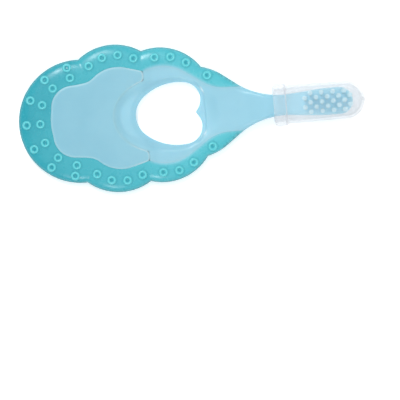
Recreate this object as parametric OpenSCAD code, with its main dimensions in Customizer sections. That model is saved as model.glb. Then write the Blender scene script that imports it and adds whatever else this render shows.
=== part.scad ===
// Training toothbrush with a cloud-shaped paddle grip, a heart-shaped finger opening,
// a tufted head and a clear slip-on cap. Millimetres, +Z up on the bristle side, +X from
// the grip to the head. Stations along the handle are measured from the end of the grip;
// the finished part is centred on its own length, and its back lies on z = 0.

/* [Soft rim] */
// Thickness of the overmoulded rim
rim_t = 5; // [4.8:0.1:5.6]
// Radius of the large lobe at the end of the grip
back_lobe_r = 22.2; // [21.8:0.1:22.6]
// Outer diameter of one massage nub
nub_d = 3.3; // [2.9:0.1:3.5]
// Diameter of the dimple in the middle of a nub
nub_dimple_d = 1.35; // [0.9:0.05:1.6]
// How far a nub stands above the rim
nub_h = 0.45; // [0.3:0.05:0.6]
// How far the core's buried tongue stops short of the rim's edge
tongue_inset = 4.5; // [3.5:0.1:5.5]

/* [Handle core] */
// Thickness of the flat plate inside the rim
plate_t = 4; // [3.8:0.1:4.2]
// Depth of the finger dish below the plate
dish_depth = 1; // [0.6:0.1:1.4]
// Radius of the round back of the heart-shaped opening
heart_back_r = 8.8; // [8.3:0.1:9]
// Radius of each of the two front lobes of the heart-shaped opening
heart_lobe_r = 6.35; // [6:0.05:6.6]
// Half the width of the neck where it is narrowest
neck_half_w = 3.75; // [3.5:0.05:4]

/* [Brush head] */
// Width of the head
head_w = 9.8; // [9.6:0.1:10]
// Thickness of the head
head_t = 4.2; // [4:0.1:4.4]
// Height of the head's back above the surface that the grip lies on
head_lift = 2.2; // [2.1:0.05:2.3]

/* [Tufts] */
// Diameter of one tuft of bristles
tuft_d = 1.56; // [1.4:0.02:1.58]
// Length of bristle above the face of the head
bristle_h = 8.5; // [7:0.1:8.6]
// Distance from one column of tufts to the next
tuft_pitch = 1.95; // [1.9:0.01:1.96]
// Depth of the blind bore that each tuft sits in
bore_depth = 3; // [2.6:0.1:3.2]

/* [Cap] */
// Width of the cap's body at its mouth end
cap_w = 14.2; // [14:0.1:14.6]
// Height of the cap's body
cap_h = 16.05; // [16:0.05:16.6]
// Wall thickness of the cap
cap_wall = 0.95; // [0.8:0.05:1]
// How far the collar round the mouth stands proud of the body
collar_proud = 0.8; // [0.5:0.05:0.8]
// Diameter of the air vent in the tip
vent_d = 1.2; // [0.8:0.1:1.6]

/* [Hidden] */
$fn = 64;
overlap = 1;
plan_steps = 8;

// Rim: each lobe is [station, offset from the centre line, radius].
edge_r = rim_t / 2;
back_lobe = [22.2, 0, back_lobe_r];
side_lobes = [[35.3, 7.4, 19.2], [51.3, 5.3, 19], [62.8, -2.5, 19.05]];
lobes = concat([back_lobe], side_lobes, [for (l = side_lobes) [l[0], -l[1], l[2]]]);

// Rows of massage nubs: [centre, radius, radius added per nub, first angle, step, count].
// The rows on the centre line start with one nub that has no twin on the other side.
nub_centre = [22.5, 0];
centre_rows = [[nub_centre, 19.7, 0.05, 180, -26.4, 4], [nub_centre, 14.75, 0.42, 180, -26.6, 4]];
side_rows = [
    [side_lobes[0], 14.85, 0.25, 125.4, -21.6, 4],
    [side_lobes[1], 15.45, 0.48, 93, -21.2, 3],
    [side_lobes[2], 16.5, 0, 68.3, 0, 1],
];
nub_round = (nub_d - nub_dimple_d) / 4;
nub_root_z = rim_t - 1.4;

// Core outline: each arc is [centre station, centre offset, radius].
plate_z = 0.4;
plate_top = plate_z + plate_t;
nose_arc = [31.5, 0, 20];
shoulder_arc = [20, 5, 8];
waist = [25.6, 13.6];
cloud_arc = [36.2, 6.4, 12];
horn = [45.9, 16.1];
crown_arc = [52.3, 2.8, 14.7];
sweep_arc = [75.5, 23.4, 15.4];
neck_arc = [95.6, neck_half_w + 28, 28];
wedge_root = [74.16, 12.79];
wedge_knee = [78.9, 9.27];

// Tongue: the part of the core that the rim is moulded over.
tongue_t = 1.8;
tongue_z = (rim_t - tongue_t) / 2;

// Neck and head: the neck rises from the plate to the head before it enters the cap.
neck_start = 78;
head_start = 90;
head_arc_r = 79;
head_tip = 115.6;
head_end = head_tip + head_w / 2;
head_top = head_lift + head_t;
neck_steps = 12;

// Finger dish and the raised thumb pad beside it.
dish = [53.7, 19.4, 13.9];
dish_z = plate_top - dish_depth;
pad_floor = plate_top - 1.2;
pad_top = rim_t + 0.2;
pad_end = horn[0];

// Heart-shaped opening.
heart_back = [51, 0];
heart_lobe = [59.45, 4.8];
heart_flank_r = 18.9;

// Tufts: columns of two and of three in turn, each tuft folded round a flat anchor.
column_count = 9;
first_column = 103.4;
pair_offset = 1.6;
triple_offset = 3.2;
bore_d = tuft_d + 0.04;
bore_floor = head_top - bore_depth;
tuft_top = head_top + bristle_h;
anchor_size = [0.3, 1.9, 1.2];
anchor_z = bore_floor + 0.35;
tuft_places = [
    for (c = [0 : column_count - 1], y = c % 2 == 0 ? [-pair_offset, pair_offset]
                                                    : [-triple_offset, 0, triple_offset])
        [first_column + c * tuft_pitch, y]
];

// Cap: body, collar and the hollow inside them.
cap_mouth = 91.7;
cap_tip = 124.7;
cap_z = 0.85;
cap_draft = 0.3;
cap_low_r = 2.6;
cap_high_r = 4.2;
cap_side_nose_r = 5.5;
collar_l = 4.5;
collar_edge_r = 1.7;
vent_z = cap_z + cap_h / 2;

// The finished part is centred on its whole length.
mid_station = (back_lobe[0] - back_lobe_r + cap_tip) / 2;

function two_digits(n) = n < 10 ? str("0", n) : str(n);
function tuft_name(i) = str("tuft_", two_digits(i + 1));
function anchor_name(i) = str("anchor_", two_digits(i + 1));

// Points along an arc [x, y, radius] from one angle to another.
function arc(a, from, to, steps = plan_steps) = [
    for (i = [0 : steps])
        let (t = from + (to - from) * i / steps) [a[0] + a[2] * cos(t), a[1] + a[2] * sin(t)]
];

// A closed outline from its upper half, which runs from one end of the centre line to the other.
function both_sides(half) = concat(half, [for (i = [len(half) - 1 : -1 : 0]) [half[i][0], -half[i][1]]]);

function ease(t) = t * t * (3 - 2 * t);

// Height of the core's underside or top at a station, from its value at the grip to that at the head.
function neck_height(x, low, high) =
    low + (high - low) * ease(min(1, max(0, (x - neck_start) / (head_start - neck_start))));

// Upper half of the core: cloud-shaped window, sweep into the neck, neck and head.
function core_half() = concat(
    arc(nose_arc, 180, 166, 3),
    arc(shoulder_arc, 172, 84),
    [waist],
    arc(cloud_arc, 137, 75),
    [horn],
    arc(crown_arc, 115, 54.2),
    arc(sweep_arc, 234.2, 270),
    arc(neck_arc, 238.1, 275, 12),
    arc([113.4, head_w / 2 - head_arc_r, head_arc_r], 95, 90, 3),
    arc([head_tip, 0, head_w / 2], 90, 0)
);

// Centre of the large arc along the heart's side, which runs smoothly into the back and a front lobe.
function heart_flank() =
    let (
        run = heart_lobe - heart_back,
        gap = norm(run),
        to_back = heart_flank_r - heart_back_r,
        to_lobe = heart_flank_r - heart_lobe_r,
        along = (to_back * to_back - to_lobe * to_lobe + gap * gap) / (2 * gap),
        across = sqrt(to_back * to_back - along * along)
    )
    heart_back + along / gap * run + across / gap * [run[1], -run[0]];

function angle_from(a, b) = atan2(b[1] - a[1], b[0] - a[0]);

// Upper half of the heart, from its round back along its side to the cusp between the front lobes.
function heart_half() =
    let (
        flank = heart_flank(),
        from_back = angle_from(flank, heart_back),
        to_lobe = angle_from(flank, heart_lobe),
        cusp = -asin(heart_lobe[1] / heart_lobe_r)
    )
    concat(
        arc([heart_back[0], heart_back[1], heart_back_r], 180, from_back),
        arc([flank[0], flank[1], heart_flank_r], from_back - 2, to_lobe + 2),
        arc([heart_lobe[0], heart_lobe[1], heart_lobe_r], to_lobe, cusp, 12)
    );

module core_plan() {
    polygon(both_sides(core_half()));
}

module dish_plan() {
    polygon([for (a = [0 : 6 : 354]) [dish[0] + dish[1] * cos(a), dish[2] * sin(a)]]);
}

module mirrored_pair() {
    children();
    mirror([0, 1, 0]) children();
}

// A round plate with a fully rounded edge.
module soft_disc(r) {
    rotate_extrude() {
        square([r - edge_r, rim_t]);
        translate([r - edge_r, edge_r]) circle(edge_r);
    }
}

module tongue() {
    for (l = lobes) {
        translate([l[0], l[1], tongue_z]) cylinder(r = l[2] - tongue_inset, h = tongue_t);
    }
}

// A massage nub: a round-topped ring with a dimple in the middle.
module nub() {
    ring_r = nub_dimple_d / 2 + nub_round;
    crest_z = rim_t + nub_h - nub_round;
    rotate_extrude($fn = 32) {
        translate([nub_dimple_d / 2, nub_root_z]) square([2 * nub_round, crest_z - nub_root_z]);
        translate([ring_r, crest_z]) circle(nub_round);
    }
}

module nub_row(row, first) {
    for (i = [first : row[5] - 1]) {
        reach = row[1] + i * row[2];
        angle = row[3] + i * row[4];
        translate([row[0][0] + reach * cos(angle), row[0][1] + reach * sin(angle), 0]) nub();
    }
}

// The pointed ends of the rim, which run out beside the neck.
module rim_wedge() {
    tip = arc(neck_arc, 233.4, 238.1, 4);
    linear_extrude(rim_t) polygon(concat([[62.8, 6], wedge_root, wedge_knee], tip, [[75.5, 6]]));
}

module grip_rim() {
    color("#5bbcc8") {
        difference() {
            union() {
                for (l = lobes) {
                    translate([l[0], l[1], 0]) soft_disc(l[2]);
                }
                mirrored_pair() rim_wedge();
            }
            translate([0, 0, -overlap]) linear_extrude(rim_t + 2 * overlap) core_plan();
            tongue();
        }
        for (row = centre_rows) {
            nub_row(row, 0);
            mirror([0, 1, 0]) nub_row(row, 1);
        }
        for (row = side_rows) {
            mirrored_pair() nub_row(row, 0);
        }
    }
}

// The side view of the core: a flat plate whose neck rises to the head.
module core_side() {
    stations = [for (i = [0 : neck_steps]) neck_start + (head_start - neck_start) * i / neck_steps];
    under = [for (x = stations) [x, neck_height(x, plate_z, head_lift)]];
    over = [for (i = [neck_steps : -1 : 0]) [stations[i], neck_height(stations[i], plate_top, head_top)]];
    polygon(concat(
        [[0, plate_z]], under, [[head_end + overlap, head_lift], [head_end + overlap, head_top]],
        over, [[0, plate_top]]
    ));
}

module core_blank() {
    intersection() {
        linear_extrude(head_top + overlap) core_plan();
        translate([0, head_w * 3, 0]) rotate([90, 0, 0]) linear_extrude(head_w * 6) core_side();
    }
    tongue();
}

module pad_plan() {
    difference() {
        intersection() {
            core_plan();
            translate([0, -50]) square([pad_end, 100]);
        }
        dish_plan();
    }
}

module anchor_at(p) {
    translate([p[0] - anchor_size[0] / 2, p[1] - anchor_size[1] / 2, anchor_z]) cube(anchor_size);
}

module handle_core() {
    color("#9ad2e4") difference() {
        core_blank();
        translate([0, 0, pad_floor]) linear_extrude(rim_t) pad_plan();
        translate([0, 0, dish_z]) linear_extrude(rim_t) dish_plan();
        translate([0, 0, -overlap]) linear_extrude(rim_t + 2 * overlap) polygon(both_sides(heart_half()));
        for (p = tuft_places) {
            translate([p[0], p[1], bore_floor]) cylinder(d = bore_d, h = bore_depth + overlap, $fn = 32);
            anchor_at(p);
        }
    }
}

module thumb_pad() {
    color("#90c9dc") translate([0, 0, pad_floor]) linear_extrude(pad_top - pad_floor) pad_plan();
}

module tuft(i) {
    p = tuft_places[i];
    color("#cfe9ef") difference() {
        translate([p[0], p[1], bore_floor]) cylinder(d = tuft_d, h = tuft_top - bore_floor, $fn = 32);
        anchor_at(p);
    }
}

module anchor(i) {
    color("#c8b070") anchor_at(tuft_places[i]);
}

// A box section with round corners, larger at the top, seen along the handle.
module cap_section(half_w, low, high, low_r, high_r) {
    translate([-half_w, low + low_r]) square([2 * half_w, high - high_r - low - low_r]);
    translate([low_r - half_w, low]) square([2 * (half_w - low_r), low_r + overlap]);
    translate([high_r - half_w, high - high_r - overlap]) square([2 * (half_w - high_r), high_r + overlap]);
    for (s = [-1, 1]) {
        translate([s * (half_w - low_r), low + low_r]) circle(low_r);
        translate([s * (half_w - high_r), high - high_r]) circle(high_r);
    }
}

// A rounded bullet: one section, cut to a plan and a side view that both end in a round nose.
module bullet(half_w, low, high, low_r, high_r, start, end, side_r) {
    tip_w = half_w - cap_draft;
    nose = end - tip_w;
    intersection() {
        translate([start, 0, 0]) rotate([90, 0, 90]) linear_extrude(end - start)
            cap_section(half_w, low, high, low_r, high_r);
        translate([0, 0, low - overlap]) linear_extrude(high - low + 2 * overlap)
            polygon(both_sides(concat([[start, half_w]], arc([nose, 0, tip_w], 90, 0, 16))));
        translate([0, half_w + overlap, 0]) rotate([90, 0, 0]) linear_extrude(2 * (half_w + overlap))
            polygon(concat(
                [[start, high], [start, low]],
                arc([end - side_r, low + side_r, side_r], 270, 360),
                arc([end - side_r, high - side_r, side_r], 0, 90)
            ));
    }
}

// The thick round-edged collar round the cap's mouth.
module collar() {
    half_w = cap_w / 2 + collar_proud;
    low = cap_z - collar_proud;
    high = cap_z + cap_h + collar_proud;
    back = cap_mouth + collar_edge_r;
    intersection() {
        translate([cap_mouth, 0, 0]) rotate([90, 0, 90]) linear_extrude(collar_l)
            cap_section(half_w, low, high, cap_low_r, cap_high_r);
        linear_extrude(high + overlap)
            polygon(both_sides(concat(
                arc([back, half_w - collar_edge_r, collar_edge_r], 180, 90),
                [[cap_mouth + collar_l, half_w - collar_proud / 2]]
            )));
        translate([0, half_w + overlap, 0]) rotate([90, 0, 0]) linear_extrude(2 * (half_w + overlap))
            polygon(concat(
                arc([back, low + collar_edge_r, collar_edge_r], 180, 270),
                [[cap_mouth + collar_l, low], [cap_mouth + collar_l, high - collar_proud / 2]],
                arc([back, high - collar_edge_r, collar_edge_r], 90, 180)
            ));
    }
}

module cap() {
    high = cap_z + cap_h;
    color("#eef2f5", 0.5) difference() {
        union() {
            bullet(cap_w / 2, cap_z, high, cap_low_r, cap_high_r,
                cap_mouth + collar_l / 2, cap_tip, cap_side_nose_r);
            collar();
        }
        bullet(cap_w / 2 - cap_wall, cap_z + cap_wall, high - cap_wall, cap_low_r - cap_wall,
            cap_high_r - cap_wall, cap_mouth - overlap, cap_tip - cap_wall, cap_side_nose_r - cap_wall);
        translate([cap_tip - 2 * cap_wall, 0, vent_z]) rotate([0, 90, 0])
            cylinder(d = vent_d, h = 3 * cap_wall, $fn = 32);
    }
}

translate([-mid_station, 0, 0]) {
    handle_core();
    grip_rim();
    thumb_pad();
    cap();
    for (i = [0 : len(tuft_places) - 1]) {
        tuft(i);
        anchor(i);
    }
}
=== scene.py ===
"""Visual model of a training toothbrush with a cloud-shaped paddle grip.

Sizes are in millimetres and measured as on the part itself: a station runs along the handle
from the end of the grip, an offset runs across it, and a height is above the surface that the
brush lies on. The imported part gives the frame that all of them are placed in.
"""

import logging
import math
import random
from dataclasses import dataclass
from enum import Enum
from typing import Callable, Optional, Sequence

import bmesh
import bpy
import numpy as np
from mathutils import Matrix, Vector, kdtree
from mathutils.geometry import delaunay_2d_cdt


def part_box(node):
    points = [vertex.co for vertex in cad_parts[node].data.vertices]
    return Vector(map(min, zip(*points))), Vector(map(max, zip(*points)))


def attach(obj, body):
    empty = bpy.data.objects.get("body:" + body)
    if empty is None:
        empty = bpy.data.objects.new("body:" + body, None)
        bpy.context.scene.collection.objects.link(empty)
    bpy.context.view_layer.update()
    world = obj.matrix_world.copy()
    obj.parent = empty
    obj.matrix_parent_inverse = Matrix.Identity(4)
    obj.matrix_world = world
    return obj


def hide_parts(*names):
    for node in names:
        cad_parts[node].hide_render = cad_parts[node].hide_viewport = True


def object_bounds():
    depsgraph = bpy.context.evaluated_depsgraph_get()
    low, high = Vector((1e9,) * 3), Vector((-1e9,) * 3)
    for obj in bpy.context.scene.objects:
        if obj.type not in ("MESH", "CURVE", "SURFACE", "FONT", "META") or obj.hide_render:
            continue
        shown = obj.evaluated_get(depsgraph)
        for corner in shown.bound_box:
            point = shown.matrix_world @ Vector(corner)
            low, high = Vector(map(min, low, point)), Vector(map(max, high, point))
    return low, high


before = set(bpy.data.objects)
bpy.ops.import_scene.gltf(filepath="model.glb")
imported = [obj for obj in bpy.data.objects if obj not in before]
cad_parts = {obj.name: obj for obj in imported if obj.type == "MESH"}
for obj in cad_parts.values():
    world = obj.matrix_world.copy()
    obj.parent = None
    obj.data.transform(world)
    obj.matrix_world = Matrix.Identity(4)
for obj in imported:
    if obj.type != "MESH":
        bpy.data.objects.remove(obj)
CAD_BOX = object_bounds()

LOG = logging.getLogger("toothbrush")
MM = 0.001

Points = np.ndarray
Heights = Callable[[Points], np.ndarray]


class Body(Enum):
    """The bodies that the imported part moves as."""

    BRUSH = "brush"
    CAP = "cap"


class Slot(Enum):
    """The record's material slots."""

    CORE = "core_plastic"
    RIM = "soft_rim"
    PAD = "thumb_pad"
    CAP = "clear_cap"
    BRISTLE = "bristle"
    ANCHOR = "anchor_metal"


# ---------------------------------------------------------------------------
# Plane geometry
# ---------------------------------------------------------------------------


def smooth(t: np.ndarray) -> np.ndarray:
    """Eases from 0 to 1 as t goes from 0 to 1, and stays level outside that."""
    t = np.clip(t, 0.0, 1.0)
    return t * t * (3.0 - 2.0 * t)


def ramp(values: np.ndarray, span: tuple[float, float]) -> np.ndarray:
    """Eases from 0 to 1 over a span, given as its start and its length."""
    return smooth((values - span[0]) / span[1])


def level(height: float) -> Heights:
    """A level surface at that height."""
    return lambda points: np.full(len(points), height)


def fillet(distance: np.ndarray, radius: float) -> np.ndarray:
    """How far a rounded edge of that radius lies below its face, at a distance from the edge."""
    inset = radius - np.clip(distance, 0.0, radius)
    return radius - np.sqrt(np.maximum(radius * radius - inset * inset, 0.0))


def bulge(t: np.ndarray, power: float) -> np.ndarray:
    """A rounded section: 0 at the edge, rising steeply, and level at 1 once t reaches 1."""
    rest = 1.0 - np.clip(t, 0.0, 1.0)
    return np.maximum(1.0 - rest**power, 0.0) ** (1.0 / power)


def bulge_steps(count: int, power: float) -> list[float]:
    """Places from the edge inward at which a bulge is cut into steps of equal turn.

    Args:
        count: Number of steps.
        power: The bulge's power.

    Returns:
        Fractions of the bulge's width, from 0 to 1.
    """
    turns = [0.5 * math.pi * i / count for i in range(count + 1)]
    return [1.0 - max(math.cos(a), 0.0) ** (2.0 / power) for a in turns]


def mirrored(points: Points) -> Points:
    """The same points on the other side of the centre line, in reverse order."""
    return points[::-1] * np.array([1.0, -1.0])


def resample(points: Points, spacing: float, closed: bool = False) -> Points:
    """Spreads points evenly along a line.

    Args:
        points: The line's points.
        spacing: Distance from one new point to the next, in mm.
        closed: Whether the line runs back to its start.

    Returns:
        The new points. An open line keeps both of its ends.
    """
    line = np.vstack([points, points[:1]]) if closed else points
    run = np.concatenate([[0.0], np.cumsum(np.linalg.norm(np.diff(line, axis=0), axis=1))])
    count = max(2, round(run[-1] / spacing))
    at = np.linspace(0.0, run[-1], count + 1)
    new = np.column_stack([np.interp(at, run, line[:, k]) for k in (0, 1)])
    return new[:-1] if closed else new


def soften(points: Points, reach: float, spacing: float, closed: bool = False) -> Points:
    """Rounds a line's corners by averaging along it.

    Args:
        points: The line's points.
        reach: Length of line that the averaging spreads over, in mm.
        spacing: Spacing of the result's points, in mm.
        closed: Whether the line runs back to its start.

    Returns:
        The rounded line. An open line keeps both of its ends.
    """
    fine = 0.1
    line = resample(points, fine, closed)
    width = max(1, round(reach / fine))
    weights = np.exp(-0.5 * (np.arange(-3 * width, 3 * width + 1) / width) ** 2)
    weights /= weights.sum()
    pad = 3 * width
    if closed:
        padded = np.vstack([line[-pad:], line, line[:pad]])
    else:
        padded = np.vstack([2 * line[0] - line[pad:0:-1], line, 2 * line[-1] - line[-2 : -pad - 2 : -1]])
    soft = np.column_stack([np.convolve(padded[:, k], weights, mode="valid") for k in (0, 1)])
    return resample(soft, spacing, closed)


def distance_to(points: Points, line: Points, closed: bool = False) -> np.ndarray:
    """Shortest distance from each point to a line.

    Args:
        points: Where to measure from.
        line: The line's points.
        closed: Whether the line runs back to its start.

    Returns:
        One distance per point, in mm.
    """
    ends = np.roll(line, -1, axis=0) if closed else line[1:]
    starts = line if closed else line[:-1]
    run = ends - starts
    length = np.maximum((run * run).sum(axis=1), 1e-12)
    found = []
    for block in np.array_split(points, max(1, len(points) // 4000)):
        reach = block[:, None, :] - starts[None, :, :]
        t = np.clip((reach * run).sum(axis=2) / length, 0.0, 1.0)
        found.append(np.linalg.norm(reach - t[:, :, None] * run, axis=2).min(axis=1))
    return np.concatenate(found)


def inside(points: Points, loop: Points) -> np.ndarray:
    """Whether each point lies within a closed loop.

    Args:
        points: The points to test.
        loop: The loop's points, its first one not repeated.

    Returns:
        True for each point within it.
    """
    result = np.zeros(len(points), bool)
    x, y = points[:, 0], points[:, 1]
    for a, b in zip(loop, np.roll(loop, -1, axis=0)):
        if a[1] == b[1]:
            continue
        crossing = (a[1] > y) != (b[1] > y)
        result ^= crossing & (x < (b[0] - a[0]) * (y - a[1]) / (b[1] - a[1]) + a[0])
    return result


def normals_of(line: Points, closed: bool) -> Points:
    """Unit normals of a line, to the left of its direction.

    Args:
        line: The line's points.
        closed: Whether the line runs back to its start.

    Returns:
        One normal per point.
    """
    if closed:
        along = np.roll(line, -1, axis=0) - np.roll(line, 1, axis=0)
    else:
        along = np.gradient(line, axis=0)
    along /= np.maximum(np.linalg.norm(along, axis=1, keepdims=True), 1e-9)
    return np.column_stack([-along[:, 1], along[:, 0]])


@dataclass(frozen=True)
class Arc:
    """The circle that a stretch of an outline follows."""

    station: float
    offset: float
    radius: float

    @property
    def centre(self) -> np.ndarray:
        """The circle's centre."""
        return np.array([self.station, self.offset])

    def sweep(self, start: float, end: float, spacing: float = 0.4) -> Points:
        """Points along the circle.

        Args:
            start: First angle, in degrees.
            end: Last angle, in degrees.
            spacing: Distance between points, in mm.

        Returns:
            The points, both ends included.
        """
        count = max(2, math.ceil(abs(math.radians(end - start)) * self.radius / spacing))
        turn = np.radians(np.linspace(start, end, count + 1))
        return self.centre + self.radius * np.column_stack([np.cos(turn), np.sin(turn)])

    def depth(self, points: Points) -> np.ndarray:
        """How far each point lies inside the circle."""
        return self.radius - np.linalg.norm(points - self.centre, axis=1)

    def meets(self, other: "Arc", depth: float) -> np.ndarray:
        """Outer crossing of two circles, both shrunk by the same depth.

        Args:
            other: The second circle.
            depth: How much both radii shrink, in mm.

        Returns:
            The crossing point that is further from the centre line.
        """
        r, s = self.radius - depth, other.radius - depth
        run = other.centre - self.centre
        gap = float(np.linalg.norm(run))
        along = (gap * gap + r * r - s * s) / (2.0 * gap)
        across = math.sqrt(max(r * r - along * along, 0.0))
        axis = run / gap
        side = np.array([-axis[1], axis[0]])
        options = [self.centre + along * axis + k * across * side for k in (1, -1)]
        return max(options, key=lambda p: p[1])

    def angle_of(self, point: np.ndarray) -> float:
        """Angle of a point seen from the centre, in degrees."""
        return math.degrees(math.atan2(point[1] - self.offset, point[0] - self.station))


# ---------------------------------------------------------------------------
# Meshes
# ---------------------------------------------------------------------------


@dataclass
class Plan:
    """A flat region cut into triangles."""

    points: Points
    triangles: np.ndarray


class PlanMaker:
    """Gathers outlines and inner points, and cuts the region between them into triangles."""

    grid_clearance = 0.62
    cut_tolerance = 1e-6

    def __init__(self, outline: Points, holes: Sequence[Points] = ()) -> None:
        """Starts a region.

        Args:
            outline: The region's closed outer loop.
            holes: Closed loops inside it that are left open.
        """
        self.outline = outline
        self.holes = list(holes)
        self.points: list[np.ndarray] = []
        self.edges: list[tuple[int, int]] = []
        self.count = 0
        for loop in [outline, *self.holes]:
            self.line(loop, closed=True)

    def line(self, points: Points, closed: bool = False) -> None:
        """Adds points that are joined by edges.

        Args:
            points: The line's points.
            closed: Whether the line runs back to its start.
        """
        start = self.count
        self.dots(points)
        self.edges += [(i, i + 1) for i in range(start, self.count - 1)]
        if closed:
            self.edges.append((self.count - 1, start))

    def dots(self, points: Points) -> None:
        """Adds loose points."""
        self.points.append(np.asarray(points, float).reshape(-1, 2))
        self.count += len(self.points[-1])

    def holds(self, points: Points) -> np.ndarray:
        """Whether each point is in the region and out of its holes.

        Args:
            points: The points to test.

        Returns:
            True for each point in the region.
        """
        kept = inside(points, self.outline)
        for hole in self.holes:
            kept &= ~inside(points, hole)
        return kept

    def scatter(self, points: Points, clearance: float) -> None:
        """Adds those points that are in the region and clear of every point so far.

        Args:
            points: The points to choose from.
            clearance: Least distance from a point placed so far, in mm.
        """
        points = points[self.holds(points)]
        placed = np.vstack(self.points)
        tree = kdtree.KDTree(len(placed))
        for i, p in enumerate(placed):
            tree.insert((p[0], p[1], 0.0), i)
        tree.balance()
        free = [p for p in points if tree.find((p[0], p[1], 0.0))[2] > clearance]
        if free:
            self.dots(np.array(free))

    def fill(self, spacing: float) -> None:
        """Fills what is left with a hexagonal grid.

        Args:
            spacing: Distance between the grid's points, in mm.
        """
        low, high = self.outline.min(axis=0), self.outline.max(axis=0)
        rows = np.arange(low[1], high[1], spacing * math.sqrt(0.75))
        lines = []
        for k, y in enumerate(rows):
            x = np.arange(low[0] + (k % 2) * spacing / 2, high[0], spacing)
            lines.append(np.column_stack([x, np.full(len(x), y)]))
        self.scatter(np.vstack(lines), spacing * self.grid_clearance)

    def cut(self) -> Plan:
        """Cuts the region into triangles.

        Returns:
            The points and triangles inside the outline and outside the holes.
        """
        placed = np.vstack(self.points)
        made = delaunay_2d_cdt([Vector(p) for p in placed], self.edges, [], 0, self.cut_tolerance)
        # The cut returns single-precision points, so each goes back to the place that was given.
        points = np.array([
            placed[given[0]] if given else (v.x, v.y) for v, given in zip(made[0], made[3])
        ])
        triangles = np.array([f for f in made[2] if len(f) == 3])
        return Plan(points, triangles[self.holds(points[triangles].mean(axis=1))])


class Shell:
    """Collects sheets and walls and joins them into one closed mesh.

    The welds and the seam's reach are in metres, and the least wall is in millimetres.
    """

    least_wall = 1e-3
    weld = 2e-6
    seam_passes = 3
    seam_reach = 2e-5
    sharp_turn = math.radians(38)

    def __init__(self, name: str) -> None:
        """Starts an empty shell."""
        self.name = name
        self.points: list[np.ndarray] = []
        self.faces: list[tuple[int, ...]] = []
        self.count = 0

    def _add(self, plan: Points, heights: np.ndarray) -> int:
        """Adds points and returns the number of the first one."""
        first = self.count
        self.points.append(np.column_stack([plan, heights]))
        self.count += len(plan)
        return first

    def sheet(self, plan: Plan, height: Heights) -> None:
        """Lays a plan's triangles over a surface."""
        first = self._add(plan.points, height(plan.points))
        self.faces += [tuple(first + int(k) for k in t) for t in plan.triangles]

    def wall(self, line: Points, low: Heights, high: Heights, closed: bool = False) -> None:
        """Stands a wall along a line, from one surface to another.

        Args:
            line: The line's points.
            low: Surface at the wall's foot.
            high: Surface at the wall's top.
            closed: Whether the line runs back to its start.
        """
        foot, top = low(line), high(line)
        a, b = self._add(line, foot), self._add(line, top)
        n = len(line)
        for i in range(n if closed else n - 1):
            j = (i + 1) % n
            if max(abs(foot[i] - top[i]), abs(foot[j] - top[j])) > self.least_wall:
                self.faces.append((a + i, a + j, b + j, b + i))

    def tube(self, rings: Sequence[np.ndarray], cap_start: bool = True, cap_end: bool = True) -> None:
        """Joins equal rings of points into a tube.

        Args:
            rings: The rings, each an array of three columns.
            cap_start: Whether a face closes the first ring.
            cap_end: Whether a face closes the last ring.
        """
        n, first = len(rings[0]), self.count
        for ring in rings:
            self.points.append(np.asarray(ring, float))
            self.count += n
        for k in range(len(rings) - 1):
            for i in range(n):
                j = (i + 1) % n
                a, b = first + k * n, first + (k + 1) * n
                self.faces.append((a + i, a + j, b + j, b + i))
        if cap_start:
            self.faces.append(tuple(first + i for i in range(n - 1, -1, -1)))
        if cap_end:
            self.faces.append(tuple(first + (len(rings) - 1) * n + i for i in range(n)))

    def close_seams(self, work: bmesh.types.BMesh) -> None:
        """Drops faces that have no width, and joins open edges where a point lies along one.

        Args:
            work: The mesh, changed in place.
        """
        narrow = [f for f in work.faces
                  if 2 * f.calc_area() < self.weld * max(e.calc_length() for e in f.edges)]
        bmesh.ops.delete(work, geom=narrow, context="FACES")
        for _ in range(self.seam_passes):
            seams = [edge for edge in work.edges if edge.is_boundary]
            ends = list(dict.fromkeys(point for edge in seams for point in edge.verts))
            for edge in seams:
                start, along = edge.verts[0], edge.verts[1].co - edge.verts[0].co
                for point in ends:
                    share = (point.co - start.co).dot(along) / along.length_squared
                    near = (start.co + along * share - point.co).length < self.seam_reach
                    if near and 0 < share < 1 and point not in edge.verts:
                        bmesh.utils.edge_split(edge, start, share)[1].co = point.co
                        break
            bmesh.ops.remove_doubles(work, verts=work.verts, dist=self.weld)

    def build(self, place: "Datum", tones: Optional[dict[str, Heights]] = None) -> bpy.types.Object:
        """Makes the mesh object.

        Args:
            place: Where the part's stations lie in the frame.
            tones: Named values that are worked out at each point, for the finishes to read.

        Returns:
            The object, smooth shaded with its sharp turns marked.
        """
        mesh = bpy.data.meshes.new(self.name)
        placed = place.to_frame(np.vstack(self.points))
        mesh.from_pydata(placed.tolist(), [], self.faces)
        work = bmesh.new()
        work.from_mesh(mesh)
        bmesh.ops.remove_doubles(work, verts=work.verts, dist=self.weld)
        bmesh.ops.dissolve_degenerate(work, edges=work.edges, dist=self.weld / 4)
        self.close_seams(work)
        bmesh.ops.recalc_face_normals(work, faces=work.faces)
        for face in work.faces:
            face.smooth = True
        for edge in work.edges:
            if len(edge.link_faces) == 2 and edge.calc_face_angle(0.0) > self.sharp_turn:
                edge.smooth = False
        open_edges = sum(1 for edge in work.edges if not edge.is_manifold)
        work.to_mesh(mesh)
        work.free()
        settled = np.zeros(len(mesh.vertices) * 3)
        mesh.vertices.foreach_get("co", settled)
        settled = place.from_frame(settled.reshape(-1, 3))
        for name, tone in (tones or {}).items():
            layer = mesh.attributes.new(name, "FLOAT", "POINT")
            layer.data.foreach_set("value", tone(settled).astype(np.float32))
        piece = bpy.data.objects.new(self.name, mesh)
        bpy.context.scene.collection.objects.link(piece)
        LOG.info("%s: %d points, %d faces, %d open edges", self.name, len(mesh.vertices),
                 len(mesh.polygons), open_edges)
        return piece


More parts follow.
